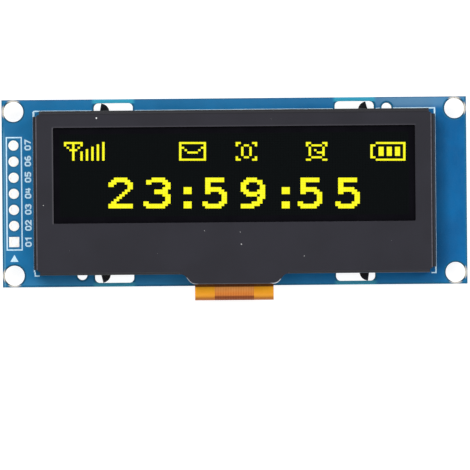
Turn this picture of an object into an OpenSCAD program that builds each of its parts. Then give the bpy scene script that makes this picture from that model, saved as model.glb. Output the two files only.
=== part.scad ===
// Small OLED display module: blue board, black folded steel bezel held by four
// twisted legs, glass cell with a dot matrix, and a flexible tail folded round
// the lower edge of the board and soldered to its rear.
//
// Frame: +Z is the way the display faces, +X to its right, +Y to its top.
// The origin is the centre of the corner hole pattern on the rear face of the
// board. All sizes are in millimetres.

/* [Board] */
// Length of the board along X
pcb_l = 73.4; // [73.2:0.1:78]
// Width of the board along Y
pcb_w = 29.6; // [29.4:0.1:33]
// Thickness of the board
pcb_t = 1.6; // [1.2:0.1:2]
// Distance between corner holes along X
hole_sx = 69.7; // [68.4:0.1:69.8]
// Distance between corner holes along Y
hole_sy = 25.9; // [25.4:0.1:26]
// Diameter of the corner holes
hole_d = 3.2; // [2.2:0.1:3.2]

/* [Header row] */
// Number of header holes
pin_n = 7; // [4:1:7]
// Distance from one header hole to the next
pin_pitch = 2.54; // [2:0.01:2.54]
// Diameter of the plated header holes
pin_d = 1.0; // [0.8:0.05:1.1]
// Diameter of the header lands, and the width of the square one
land_d = 1.6; // [1.4:0.05:1.8]

/* [Bezel] */
// Outer length of the bezel along X
bez_l = 63.4; // [63:0.1:64]
// Outer width of the bezel along Y
bez_w = 25.9; // [25.7:0.1:26.1]
// Thickness of the sheet steel
bez_t = 0.3; // [0.2:0.05:0.35]
// Outer radius of the folds
fold_r = 0.6; // [0.5:0.05:0.8]
// Length of the window along X
win_l = 57.0; // [56:0.1:58]
// Width of the window along Y
win_w = 15.1; // [14:0.1:15.6]
// Width of the lower tongue over the tail
tongue_w = 14.9; // [14:0.1:16]
// How far the tongue stands out past the lower wall
tongue_h = 1.55; // [1.4:0.05:1.7]
// Width of a leg where it passes through the board
neck_w = 1.7; // [1.2:0.1:1.7]
// Width of a leg's twisted head
head_w = 2.8; // [2:0.1:3]
// How far the legs reach below the rear of the board
leg_h = 1.5; // [1.4:0.05:2]
// Angle through which the legs are twisted
leg_twist = 76; // [60:1:90]

/* [Display cell] */
// Length of the front glass along X
glass_l = 62; // [61:0.1:62.2]
// Width of the front glass along Y
glass_w = 24; // [23.8:0.1:24.2]
// Thickness of the front glass
glass_t = 0.9; // [0.7:0.05:1]
// Thickness of the rear cap glass
cap_t = 1.0; // [0.8:0.05:1.1]
// Thickness of the polariser film
pol_t = 0.2; // [0.15:0.01:0.25]
// Columns of dots
dot_cols = 128; // [64:1:128]
// Rows of dots
dot_rows = 32; // [16:1:32]
// Dot pitch along X
dot_px = 0.43; // [0.35:0.01:0.43]
// Dot pitch along Y
dot_py = 0.40; // [0.35:0.01:0.43]

/* [Tail] */
// Width of the flexible tail
tail_w = 12.4; // [11:0.05:14]
// Thickness of the tail
tail_t = 0.1; // [0.08:0.01:0.15]
// Distance from the board's centre line to the outside of the fold
tail_out = 17.1; // [16.7:0.1:17.4]
// Number of soldered tracks
tail_n = 24; // [12:1:24]
// Pitch of the soldered tracks
tail_pitch = 0.5; // [0.4:0.01:0.5]

/* [Hidden] */

// small plane-fit thicknesses
land_t = 0.04;          // copper land with its tin
plate_t = 0.03;         // plating in the header holes
tape_t = 0.2;           // double-sided tape
seal_t = 0.05;          // adhesive ring and dot layer
film_t = 0.03;          // conductive film

// levels above the rear face of the board
z_cap = pcb_t + tape_t;
z_seal = z_cap + cap_t;
z_glass = z_seal + seal_t;
z_pol = z_glass + glass_t;
z_plate = z_pol + pol_t;
z_top = z_plate + bez_t;

// window and dot field centre
view_x = 0;
view_y = 2.74;
win_r = 0.2;

// front glass and cap outlines
glass_x = 0;
glass_y = 0.3;
glass_lo = glass_y - glass_w/2;
cap_lo = glass_lo + 5.4;
cap_hi = glass_y + glass_w/2 - 0.3;
cap_l = glass_l - 1.6;
cav_l = dot_cols*dot_px + 1;
cav_w = dot_rows*dot_py + 1.2;
cav_d = 0.35;

// slots for the bezel legs
slot_x = 19.05;
slot_l = 6.2;
slot_in = 12.2;
slot_out = 14.2;
slot_c = 0.75;          // corner radius left by the router
leg_x = 21.1;
leg_y = bez_w/2 - bez_t/2;

// locating holes
loc_d = 1.6;
loc_at = [[24.15, 13.1], [-24.15, -12.92]];

// bezel fold zone
flat_x = bez_l/2 - fold_r;
flat_y = bez_w/2 - fold_r;
long_wall = 30.7;       // half length of the upper and lower walls
clip = 0.2;             // clipped corner of the flat face
side_wall = 12.05;      // half length of the left and right walls
z_fold = z_top - fold_r;
root_r = 1.0;           // fillet at the root of the tongue
tongue_r = 1.35;
tongue_x = -0.1;        // the tongue stands a little off centre
mouth = tongue_w/2 + root_r;
// side of the tongue from the wall down: root arc, straight run, corner arc
root_c = [mouth, -root_r];
corner_c = [tongue_w/2 - tongue_r, tongue_r - tongue_h];
lean = atan2(root_c[1] - corner_c[1], root_c[0] - corner_c[0])
  + asin((root_r + tongue_r)/norm(root_c - corner_c));
tongue_side = concat(
  [for (k = [0:10]) let(a = 90 + lean*k/10) root_c + root_r*[cos(a), sin(a)]],
  [for (k = [0:10]) let(a = lean*(1 - k/10) - 90) corner_c + tongue_r*[cos(a), sin(a)]]);

// tail levels
tail_hi = z_glass - film_t;
tail_lo = -land_t - tail_t;
tail_ro = (tail_hi - tail_lo)/2;
tail_ri = tail_ro - tail_t;
tail_zc = (tail_hi + tail_lo)/2;
tail_yc = -tail_out + tail_ro;
tail_x = -0.15;
tail_in = glass_lo + 1.5;
tail_end = -8.0;
chip_lo = -9.1;
chip_hi = -7.5;
chip_l = 10.8;
chip_t = 0.3;

// rear component positions: [x, y, angle]
caps_at = [[-9.0, -6.6, 90], [9.2, -6.6, 90], [12.0, -6.6, 90], [-6.0, -3.4, 90],
           [-3.0, -3.4, 90], [3.0, -3.4, 90], [6.0, -3.4, 90], [-28.2, -1.2, 90],
           [-22.0, 7.4, 0]];
res_at = [[0.0, -3.4, 90], [-12.0, -6.6, 90], [-15.0, -6.6, 90], [9.2, -3.0, 90],
          [-15.0, 1.2, 0], [-15.0, 3.2, 0], [-15.0, 5.2, 0], [-15.0, 7.2, 0],
          [-28.2, -5.6, 90], [15.4, 5.6, 0]];
big_at = [[27.6, -3.6, 90], [27.6, 3.2, 90], [23.6, 7.2, 0], [-18.4, -2.4, 90]];
boost_at = [14.6, 0.6, 0];
reg_at = [-23.6, 2.6, 90];
dio_at = [20.4, -7.0, 0];
ind_at = [20.8, 0.6, 0];

// small chip: length, width, height, end length
cap_s = [1.6, 0.8, 0.8, 0.3];
res_s = [1.6, 0.8, 0.45, 0.3];
big_s = [3.2, 1.6, 1.0, 0.5];

eps = 0.01;

// ---------------------------------------------------------------- helpers

// box from two opposite corners
module slab(a, b) {
  translate(a) cube([b[0] - a[0], b[1] - a[1], b[2] - a[2]]);
}

// flat plate with rounded corners, made of exact pieces
module round_rect(l, w, r) {
  square([l - 2*r, w], center = true);
  square([l, w - 2*r], center = true);
  for (sx = [-1, 1], sy = [-1, 1])
    translate([sx*(l/2 - r), sy*(w/2 - r)]) circle(r = r, $fn = 32);
}

// place a rear component: its local z = 0 is the surface of the lands
module on_rear(p) {
  translate([p[0], p[1], 0]) rotate([0, 0, p[2]])
    mirror([0, 0, 1]) translate([0, 0, land_t]) children();
}

// body block of a chip component
module chip_mid(s) {
  translate([-s[0]/2 + s[3], -s[1]/2 + 0.02, 0])
    cube([s[0] - 2*s[3], s[1] - 0.04, s[2] - 0.02]);
}

// two metal ends of a chip component
module chip_ends(s) {
  for (sx = [-1, 1])
    translate([sx*(s[0]/2 - s[3]/2), 0, s[2]/2]) cube([s[3], s[1], s[2]], center = true);
}

// lands of a chip component
module chip_lands(s) {
  for (sx = [-1, 1])
    translate([sx*(s[0]/2 - s[3]/2 + 0.2), 0, -land_t/2])
      cube([s[3] + 0.6, s[1] + 0.12, land_t], center = true);
}

// solder wedges of a chip component
module chip_wedges(s) {
  for (sx = [0, 1]) mirror([sx, 0, 0])
    translate([s[0]/2, s[1]/2 - 0.04, 0]) rotate([90, 0, 0])
      linear_extrude(height = s[1] - 0.08)
        polygon([[0, 0], [0.4, 0], [0.28, 0.08], [0.12, s[2]*0.3], [0, s[2]*0.62]]);
}

// moulded package with a little draft on all four sides
module moulded(l, w, z0, z1) {
  d = 0.08;
  zm = z0 + (z1 - z0)*0.4;
  intersection() {
    translate([0, w/2 + 1, 0]) rotate([90, 0, 0]) linear_extrude(height = w + 2)
      polygon([[-l/2 + d, z0], [-l/2, zm], [-l/2 + d, z1],
               [l/2 - d, z1], [l/2, zm], [l/2 - d, z0]]);
    translate([-l/2 - 1, 0, 0]) rotate([90, 0, 90]) linear_extrude(height = l + 2)
      polygon([[-w/2 + d, z0], [-w/2, zm], [-w/2 + d, z1],
               [w/2 - d, z1], [w/2, zm], [w/2 - d, z0]]);
  }
}

// gull-wing lead that leaves a body of half width b along +Y
module gull(b, x, wide) {
  t = 0.15;
  zc = 0.4;
  translate([x - wide/2, 0, 0]) rotate([90, 0, 90]) linear_extrude(height = wide)
    polygon([[b, zc], [b, zc + t], [b + 0.2, zc + t], [b + 0.32, t],
             [b + 0.62, t], [b + 0.62, 0], [b + 0.2, 0], [b + 0.08, zc]]);
}

// land and solder wedge under a gull-wing foot
module gull_land(b, x, wide) {
  translate([x - wide/2 - 0.08, b + 0.02, -land_t]) cube([wide + 0.16, 1.0, land_t]);
}
module gull_wedge(b, x, wide) {
  translate([x - wide/2, b + 0.62, 0]) rotate([90, 0, 90]) linear_extrude(height = wide)
    polygon([[0, 0], [0.26, 0], [0.08, 0.07], [0, 0.14]]);
}

// lead layouts: [x, side, width]
boost_leads = [[-0.95, 1, 0.4], [0, 1, 0.4], [0.95, 1, 0.4],
               [-0.95, -1, 0.4], [0, -1, 0.4], [0.95, -1, 0.4]];
reg_leads = [[0, 1, 0.42], [-0.95, -1, 0.42], [0.95, -1, 0.42]];
dio_leads = [[0, 1, 0.6], [0, -1, 0.6]];

module leads_of(list, b) {
  for (q = list) mirror([0, q[1] < 0 ? 1 : 0, 0]) gull(b, q[0], q[2]);
}
module lead_lands(list, b) {
  for (q = list) mirror([0, q[1] < 0 ? 1 : 0, 0]) gull_land(b, q[0], q[2]);
}
module lead_wedges(list, b) {
  for (q = list) mirror([0, q[1] < 0 ? 1 : 0, 0]) gull_wedge(b, q[0], q[2]);
}

// ---------------------------------------------------------------- board

module pcb() {
  color([0.10, 0.36, 0.58]) difference() {
    translate([-pcb_l/2, -pcb_w/2, 0]) cube([pcb_l, pcb_w, pcb_t]);
    for (sx = [-1, 1], sy = [-1, 1])
      translate([sx*hole_sx/2, sy*hole_sy/2, -1]) cylinder(d = hole_d, h = pcb_t + 2, $fn = 64);
    for (sx = [-1, 1], sy = [-1, 1]) translate([sx*slot_x, sy*(slot_in + slot_out)/2, -1])
      linear_extrude(height = pcb_t + 2) round_rect(slot_l, slot_out - slot_in, slot_c);
    for (p = loc_at) translate([p[0], p[1], -1]) cylinder(d = loc_d, h = pcb_t + 2, $fn = 48);
    for (i = [0:pin_n - 1]) translate([-hole_sx/2, (i - (pin_n - 1)/2)*pin_pitch, -1])
      cylinder(r = pin_d/2 + plate_t, h = pcb_t + 2, $fn = 48);
  }
}

// plated header holes; the lowest has a square land
module header_pads() {
  color([0.93, 0.93, 0.90]) for (i = [0:pin_n - 1])
    translate([-hole_sx/2, (i - (pin_n - 1)/2)*pin_pitch, 0]) difference() {
      union() {
        cylinder(r = pin_d/2 + plate_t, h = pcb_t, $fn = 48);
        for (z = [-land_t, pcb_t]) translate([0, 0, z])
          if (i == 0) translate([-land_d/2, -land_d/2, 0]) cube([land_d, land_d, land_t]);
          else cylinder(d = land_d, h = land_t, $fn = 48);
      }
      translate([0, 0, -1]) cylinder(d = pin_d, h = pcb_t + 2, $fn = 48);
    }
}

// row of lands that the tail is soldered to
module flex_pads() {
  color([0.84, 0.85, 0.85]) for (i = [0:tail_n - 1])
    translate([tail_x + (i - (tail_n - 1)/2)*tail_pitch - 0.14, tail_end - 1.8, -land_t])
      cube([0.28, 2.9, land_t]);
}

// lands of all the rear components
module part_pads() {
  color([0.84, 0.85, 0.85]) {
    for (p = caps_at) on_rear(p) chip_lands(cap_s);
    for (p = res_at) on_rear(p) chip_lands(res_s);
    for (p = big_at) on_rear(p) chip_lands(big_s);
    on_rear(boost_at) lead_lands(boost_leads, 0.8);
    on_rear(reg_at) lead_lands(reg_leads, 0.65);
    on_rear(dio_at) lead_lands([[0, 1, 0.6], [0, -1, 0.6]], 1.35);
    on_rear(ind_at) for (s = [-1, 1])
      translate([s*1.1 - 0.55, -1.5, -land_t]) cube([1.1, 3.0, land_t]);
  }
}

// ---------------------------------------------------------------- bezel

// one fold along X, of the given half length, at the upper edge
module fold_x(x0, x1) {
  translate([x0, flat_y, z_fold]) rotate([90, 0, 90]) linear_extrude(height = x1 - x0)
    intersection() {
      difference() {
        circle(r = fold_r, $fn = 64);
        circle(r = fold_r - bez_t, $fn = 64);
      }
      square(fold_r + 1);
    }
  slab([x0, bez_w/2 - bez_t, pcb_t], [x1, bez_w/2, z_fold]);
}

// one fold along Y at the right edge
module fold_y() {
  translate([flat_x, side_wall, z_fold]) rotate([90, 0, 0]) linear_extrude(height = 2*side_wall)
    intersection() {
      difference() {
        circle(r = fold_r, $fn = 64);
        circle(r = fold_r - bez_t, $fn = 64);
      }
      square(fold_r + 1);
    }
  slab([bez_l/2 - bez_t, -side_wall, pcb_t], [bez_l/2, side_wall, z_fold]);
}

// one leg: neck through the slot, head twisted behind the board, straight tip
module leg(sx, sy, more) {
  a = -sx*sy*(leg_twist + more);
  tw = leg_h*0.6;
  translate([sx*leg_x, sy*leg_y, 0]) {
    translate([-neck_w/2, -bez_t/2, 0]) cube([neck_w, bez_t, pcb_t]);
    translate([0, 0, -tw]) linear_extrude(height = tw, twist = a, slices = 14)
      rotate(a) square([head_w, bez_t], center = true);
    translate([0, 0, -leg_h]) rotate([0, 0, a]) translate([-head_w/2, -bez_t/2, 0])
      cube([head_w, bez_t, leg_h - tw]);
  }
}

module plate_outline() {
  difference() {
    union() {
      // flat face with clipped corners
      polygon([for (q = [[1, 1], [-1, 1], [-1, -1], [1, -1]])
        for (k = (q[0]*q[1] > 0) ? [0, 1] : [1, 0])
          [q[0]*(flat_x - (k == 0 ? 0 : clip)), q[1]*(flat_y - (k == 0 ? clip : 0))]]);
      // tongue over the tail
      translate([tongue_x, -bez_w/2])
        polygon(concat([[mouth, fold_r + eps]], tongue_side,
          [for (k = [len(tongue_side) - 1 : -1 : 0]) [-tongue_side[k][0], tongue_side[k][1]]],
          [[-mouth, fold_r + eps]]));
    }
    translate([view_x, view_y]) round_rect(win_l, win_w, win_r);
  }
}

module bezel_frame() {
  color([0.20, 0.20, 0.22]) union() {
    translate([0, 0, z_plate]) linear_extrude(height = bez_t) plate_outline();
    fold_x(-long_wall, long_wall);
    mirror([0, 1, 0]) {
      fold_x(-long_wall, tongue_x - mouth);
      fold_x(tongue_x + mouth, long_wall);
    }
    fold_y();
    mirror([1, 0, 0]) fold_y();
    // the legs were twisted one by one, so their angles differ a little
    leg(-1, 1, 4);
    leg(1, 1, -2);
    leg(-1, -1, 0);
    leg(1, -1, 6);
  }
}

// ---------------------------------------------------------------- cell

module front_glass() {
  color([0.55, 0.62, 0.62, 0.6])
    translate([glass_x - glass_l/2, glass_lo, z_glass]) cube([glass_l, glass_w, glass_t]);
}

module emissive_stack() {
  color([0.95, 0.93, 0.20])
    translate([view_x - dot_cols*dot_px/2, view_y - dot_rows*dot_py/2, z_seal])
      cube([dot_cols*dot_px, dot_rows*dot_py, seal_t]);
}

module rear_cap_glass() {
  color([0.60, 0.68, 0.68, 0.6]) difference() {
    slab([glass_x - cap_l/2, cap_lo, z_cap], [glass_x + cap_l/2, cap_hi, z_seal]);
    translate([view_x - cav_l/2, view_y - cav_w/2, z_seal - cav_d])
      cube([cav_l, cav_w, cav_d + 1]);
  }
}

module edge_seal() {
  color([0.80, 0.78, 0.66]) difference() {
    slab([glass_x - cap_l/2 + 0.15, cap_lo + 0.15, z_seal],
         [glass_x + cap_l/2 - 0.15, cap_hi - 0.15, z_glass]);
    translate([view_x - cav_l/2 - 0.6, view_y - cav_w/2 - 0.6, z_seal - 1])
      cube([cav_l + 1.2, cav_w + 1.2, 3]);
  }
}

module desiccant_sheet() {
  color([0.92, 0.92, 0.90])
    translate([view_x - 26, view_y - 5, z_seal - cav_d]) cube([52, 10, 0.2]);
}

module polariser() {
  color([0.05, 0.05, 0.06])
    translate([view_x - win_l/2 - 1.2, view_y - win_w/2 - 1.2, z_pol])
      cube([win_l + 2.4, win_w + 2.4, pol_t]);
}

module driver_chip() {
  color([0.35, 0.36, 0.40])
    slab([-chip_l/2, chip_lo, tail_hi - chip_t], [chip_l/2, chip_hi, tail_hi]);
}

// conductive strips: one under the driver chip, one under the tail
module bonding_film() {
  color([0.75, 0.70, 0.55]) {
    slab([-chip_l/2, chip_lo, tail_hi], [chip_l/2, chip_hi, z_glass]);
    slab([tail_x - tail_w/2, glass_lo + 0.1, tail_hi], [tail_x + tail_w/2, tail_in, z_glass]);
  }
}

// cured coating on the tracks of the ledge, round the driver chip
module ledge_coating() {
  color([0.85, 0.86, 0.88, 0.7]) difference() {
    slab([glass_x - glass_l/2 + 2, tail_in, z_glass - 0.12],
         [glass_x + glass_l/2 - 2, cap_lo, z_glass]);
    slab([-chip_l/2, chip_lo, z_glass - 1], [chip_l/2, chip_hi, z_glass + 1]);
  }
}

module mounting_tape() {
  color([0.90, 0.90, 0.86])
    slab([glass_x - 28, cap_lo + 1.5, pcb_t], [glass_x + 28, cap_hi - 1.5, z_cap]);
}

// ---------------------------------------------------------------- tail

module flex_tail() {
  color([0.90, 0.56, 0.16]) translate([tail_x - tail_w/2, 0, 0]) {
    slab([0, tail_yc, tail_hi - tail_t], [tail_w, tail_in, tail_hi]);
    slab([0, tail_yc, tail_lo], [tail_w, tail_end, tail_lo + tail_t]);
    translate([0, tail_yc, tail_zc]) rotate([90, 0, 90]) linear_extrude(height = tail_w)
      intersection() {
        difference() {
          circle(r = tail_ro, $fn = 96);
          circle(r = tail_ri, $fn = 96);
        }
        translate([-tail_ro - 1, -tail_ro - 1]) square([tail_ro + 1, 2*tail_ro + 2]);
      }
  }
}

// solder along the free end of the tail, one joint to each track
module flex_solder() {
  color([0.80, 0.81, 0.82]) for (i = [0:tail_n - 1])
    translate([tail_x + (i - (tail_n - 1)/2)*tail_pitch, tail_end, -land_t]) intersection() {
      difference() {
        union() {
          translate([0, -0.9, -0.04]) rotate([-90, 0, 0]) cylinder(r = 0.17, h = 1.7, $fn = 32);
          translate([-0.15, 0, -0.04]) cube([0.3, 0.8, 0.04]);
        }
        slab([-1, -3, -tail_t], [1, 0, 1]);
      }
      slab([-0.16, -2, -1], [0.16, 2, 0]);
    }
}

// ---------------------------------------------------------------- rear parts

module part_solder() {
  color([0.80, 0.81, 0.82]) {
    for (p = caps_at) on_rear(p) chip_wedges(cap_s);
    for (p = res_at) on_rear(p) chip_wedges(res_s);
    for (p = big_at) on_rear(p) chip_wedges(big_s);
    on_rear(boost_at) lead_wedges(boost_leads, 0.8);
    on_rear(reg_at) lead_wedges(reg_leads, 0.65);
    on_rear(dio_at) lead_wedges(dio_leads, 1.35);
    on_rear(ind_at) for (s = [0, 1]) mirror([s, 0, 0])
      translate([1.5, 1.15, 0]) rotate([90, 0, 0]) linear_extrude(height = 2.3)
        polygon([[0, 0], [0.14, 0], [0, 0.1]]);
  }
}

module boost_chip_body() {
  color([0.12, 0.12, 0.13]) on_rear(boost_at) difference() {
    moulded(2.9, 1.6, 0.1, 1.1);
    translate([-1.05, -0.42, 1.04]) cylinder(r = 0.17, h = 1, $fn = 32);
  }
}
module boost_chip_leads() {
  color([0.78, 0.79, 0.80]) on_rear(boost_at) difference() {
    leads_of(boost_leads, 0.72);
    moulded(2.9, 1.6, 0.1, 1.1);
  }
}

module regulator_body() {
  color([0.12, 0.12, 0.13]) on_rear(reg_at) moulded(2.9, 1.3, 0.1, 1.05);
}
module regulator_leads() {
  color([0.78, 0.79, 0.80]) on_rear(reg_at) difference() {
    leads_of(reg_leads, 0.57);
    moulded(2.9, 1.3, 0.1, 1.05);
  }
}

module schottky_body() {
  color([0.13, 0.13, 0.14]) on_rear(dio_at) moulded(1.6, 2.7, 0.1, 1.15);
}
module schottky_leads() {
  color([0.78, 0.79, 0.80]) on_rear(dio_at) difference() {
    leads_of(dio_leads, 1.27);
    moulded(1.6, 2.7, 0.1, 1.15);
  }
}

// ferrite drum
module inductor_core() {
  color([0.22, 0.22, 0.23]) on_rear(ind_at) rotate_extrude($fn = 64)
    polygon([[0, 0.1], [1.36, 0.1], [1.36, 0.35], [0.6, 0.35], [0.6, 0.88],
             [1.22, 0.88], [1.22, 1.15], [0, 1.15]]);
}
module inductor_winding() {
  color([0.72, 0.40, 0.20]) on_rear(ind_at) rotate_extrude($fn = 64)
    polygon([[0.6, 0.35], [1.12, 0.35], [1.12, 0.88], [0.6, 0.88]]);
}
module inductor_shield() {
  c = 0.35;
  h = 1.5;
  color([0.26, 0.26, 0.27]) on_rear(ind_at) translate([0, 0, 0.1]) difference() {
    linear_extrude(height = 1.0)
      polygon([[h - c, -h], [h, -h + c], [h, h - c], [h - c, h],
               [-h + c, h], [-h, h - c], [-h, -h + c], [-h + c, -h]]);
    translate([0, 0, -1]) cylinder(r = 1.36, h = 4, $fn = 64);
  }
}
module inductor_terminals() {
  color([0.82, 0.82, 0.80]) on_rear(ind_at) for (s = [-1, 1])
    translate([s*1.0 - 0.5, -1.15, 0]) cube([1.0, 2.3, 0.1]);
}

module small_capacitors() {
  color([0.62, 0.48, 0.34]) for (p = caps_at) on_rear(p) chip_mid(cap_s);
}
module small_capacitor_ends() {
  color([0.80, 0.81, 0.82]) for (p = caps_at) on_rear(p) chip_ends(cap_s);
}
module small_resistors() {
  color([0.10, 0.10, 0.11]) for (p = res_at) on_rear(p) chip_mid(res_s);
}
module small_resistor_ends() {
  color([0.80, 0.81, 0.82]) for (p = res_at) on_rear(p) chip_ends(res_s);
}
module large_capacitors() {
  color([0.66, 0.52, 0.38]) for (p = big_at) on_rear(p) chip_mid(big_s);
}
module large_capacitor_ends() {
  color([0.80, 0.81, 0.82]) for (p = big_at) on_rear(p) chip_ends(big_s);
}

pcb();
header_pads();
flex_pads();
part_pads();
bezel_frame();
front_glass();
emissive_stack();
rear_cap_glass();
edge_seal();
desiccant_sheet();
polariser();
driver_chip();
bonding_film();
ledge_coating();
mounting_tape();
flex_tail();
flex_solder();
part_solder();
boost_chip_body();
boost_chip_leads();
regulator_body();
regulator_leads();
schottky_body();
schottky_leads();
inductor_core();
inductor_winding();
inductor_shield();
inductor_terminals();
small_capacitors();
small_capacitor_ends();
small_resistors();
small_resistor_ends();
large_capacitors();
large_capacitor_ends();
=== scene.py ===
import bpy
import bmesh
import math
import random
from mathutils import Vector, Matrix


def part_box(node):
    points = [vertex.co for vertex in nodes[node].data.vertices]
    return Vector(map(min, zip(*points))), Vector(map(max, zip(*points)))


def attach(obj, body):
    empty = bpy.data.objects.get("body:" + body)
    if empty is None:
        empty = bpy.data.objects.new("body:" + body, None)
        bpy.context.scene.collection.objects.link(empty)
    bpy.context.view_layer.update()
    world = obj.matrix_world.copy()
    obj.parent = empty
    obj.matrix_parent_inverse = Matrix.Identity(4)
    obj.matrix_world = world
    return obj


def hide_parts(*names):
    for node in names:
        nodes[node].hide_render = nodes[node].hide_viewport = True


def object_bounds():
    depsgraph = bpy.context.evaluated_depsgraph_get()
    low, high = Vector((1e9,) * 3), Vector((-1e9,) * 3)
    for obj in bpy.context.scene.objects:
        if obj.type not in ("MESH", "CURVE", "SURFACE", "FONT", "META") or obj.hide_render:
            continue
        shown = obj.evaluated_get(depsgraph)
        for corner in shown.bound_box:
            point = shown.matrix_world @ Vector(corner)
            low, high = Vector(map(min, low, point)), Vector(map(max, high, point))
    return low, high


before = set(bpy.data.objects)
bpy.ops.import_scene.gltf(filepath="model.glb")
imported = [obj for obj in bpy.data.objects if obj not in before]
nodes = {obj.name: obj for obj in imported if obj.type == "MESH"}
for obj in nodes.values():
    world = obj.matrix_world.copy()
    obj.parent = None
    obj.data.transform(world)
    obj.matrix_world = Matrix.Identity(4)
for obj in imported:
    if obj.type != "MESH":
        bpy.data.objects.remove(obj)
cad_lo, cad_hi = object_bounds()
MM = 0.001
rng = random.Random(7)


def lin(c):
    """sRGB 0..255 to linear"""
    out = []
    for v in c:
        v = v / 255.0
        out.append(v / 12.92 if v <= 0.04045 else ((v + 0.055) / 1.055) ** 2.4)
    return (out[0], out[1], out[2], 1.0)


# ------------------------------------------------------------ camera first
scene = bpy.context.scene
scene.view_settings.view_transform = "Standard"
scene.view_settings.look = "None"
scene.view_settings.exposure = 0.0
scene.view_settings.gamma = 1.0

cam_data = bpy.data.cameras.new("camera")
cam = bpy.data.objects.new("camera", cam_data)
scene.collection.objects.link(cam)
DIST = 0.72
cam_data.sensor_width = 36.0
FRAME_W = 0.07425
cam_data.lens = 36.0 * DIST / FRAME_W
cam_data.clip_start = 0.01
cam_data.clip_end = 5.0
cam_data.dof.use_dof = False
look_at = Vector((0.00003, -0.00681, 0.0016))
cam.location = look_at + Vector((0, 0, DIST))
cam.rotation_euler = (0.0, 0.0, math.radians(-0.50))
scene.camera = cam


# ------------------------------------------------------------ shader helper
class Graph:
    def __init__(self, name):
        self.mat = bpy.data.materials.new(name)
        self.mat.use_nodes = True
        self.t = self.mat.node_tree
        self.n = self.t.nodes
        self.l = self.t.links
        self.bsdf = [q for q in self.n if q.type == "BSDF_PRINCIPLED"][0]
        self._xyz = None

    def put(self, socket, v):
        if isinstance(v, bpy.types.NodeSocket):
            self.l.new(v, socket)
        else:
            socket.default_value = v

    def math(self, op, *args, clamp=False):
        q = self.n.new("ShaderNodeMath")
        q.operation = op
        q.use_clamp = clamp
        for i, a in enumerate(args):
            self.put(q.inputs[i], a)
        return q.outputs[0]

    def add(self, a, b): return self.math("ADD", a, b)
    def sub(self, a, b): return self.math("SUBTRACT", a, b)
    def mul(self, a, b): return self.math("MULTIPLY", a, b)
    def absv(self, a): return self.math("ABSOLUTE", a)
    def mx(self, a, b): return self.math("MAXIMUM", a, b)
    def mn(self, a, b): return self.math("MINIMUM", a, b)
    def hyp(self, a, b): return self.math("SQRT", self.add(self.mul(a, a), self.mul(b, b)))

    def step(self, v, lo, hi, a=0.0, b=1.0, kind="SMOOTHSTEP"):
        q = self.n.new("ShaderNodeMapRange")
        q.interpolation_type = kind
        self.put(q.inputs["Value"], v)
        q.inputs["From Min"].default_value = lo
        q.inputs["From Max"].default_value = hi
        q.inputs["To Min"].default_value = a
        q.inputs["To Max"].default_value = b
        return q.outputs[0]

    def xyz(self):
        """object coordinates in millimetres"""
        if self._xyz is None:
            tc = self.n.new("ShaderNodeTexCoord")
            vm = self.n.new("ShaderNodeVectorMath")
            vm.operation = "SCALE"
            self.l.new(tc.outputs["Object"], vm.inputs[0])
            vm.inputs["Scale"].default_value = 1000.0
            sx = self.n.new("ShaderNodeSeparateXYZ")
            self.l.new(vm.outputs[0], sx.inputs[0])
            self._xyz = (vm.outputs[0], sx.outputs[0], sx.outputs[1], sx.outputs[2])
        return self._xyz

    def normal_z(self):
        g = self.n.new("ShaderNodeNewGeometry")
        sx = self.n.new("ShaderNodeSeparateXYZ")
        self.l.new(g.outputs["Normal"], sx.inputs[0])
        return sx.outputs[2]

    def noise(self, scale, detail=3.0, rough=0.55, vec=None, dist=0.0):
        q = self.n.new("ShaderNodeTexNoise")
        self.put(q.inputs["Vector"], vec if vec is not None else self.xyz()[0])
        q.inputs["Scale"].default_value = scale
        q.inputs["Detail"].default_value = detail
        q.inputs["Roughness"].default_value = rough
        q.inputs["Distortion"].default_value = dist
        return q.outputs[0]

    def stretch(self, sx, sy, sz):
        q = self.n.new("ShaderNodeVectorMath")
        q.operation = "MULTIPLY"
        self.l.new(self.xyz()[0], q.inputs[0])
        q.inputs[1].default_value = (sx, sy, sz)
        return q.outputs[0]

    def mix(self, f, a, b):
        q = self.n.new("ShaderNodeMix")
        q.data_type = "RGBA"
        self.put(q.inputs[0], f)
        self.put(q.inputs[6], a)
        self.put(q.inputs[7], b)
        return q.outputs[2]

    def bump(self, h, strength, dist_mm):
        q = self.n.new("ShaderNodeBump")
        q.inputs["Strength"].default_value = strength
        q.inputs["Distance"].default_value = dist_mm * MM
        self.put(q.inputs["Height"], h)
        self.l.new(q.outputs[0], self.bsdf.inputs["Normal"])

    def set(self, **kw):
        names = {"color": "Base Color", "rough": "Roughness", "metal": "Metallic",
                 "spec": "Specular IOR Level", "coat": "Coat Weight",
                 "coat_rough": "Coat Roughness", "alpha": "Alpha", "ior": "IOR",
                 "trans": "Transmission Weight", "emit": "Emission Color",
                 "emit_w": "Emission Strength", "sub": "Subsurface Weight"}
        for k, v in kw.items():
            self.put(self.bsdf.inputs[names[k]], v)


def varied(name, c0, c1, scale, rough0, rough1, metal=0.0, bump_scale=None,
           bump=0.1, depth=0.01, spec=None, coat=None, detail=4.0):
    """a surface with fine changes of colour, gloss and height"""
    g = Graph(name)
    nz = g.noise(scale, detail)
    g.set(color=g.mix(g.step(nz, 0.3, 0.7), lin(c0), lin(c1)))
    g.set(rough=g.step(g.noise(scale * 1.7, detail), 0.3, 0.7, rough0, rough1), metal=metal)
    if spec is not None:
        g.set(spec=spec)
    if coat is not None:
        g.set(coat=coat, coat_rough=0.12)
    g.bump(g.noise(bump_scale or scale * 3, 3.0), bump, depth)
    return g.mat


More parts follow.
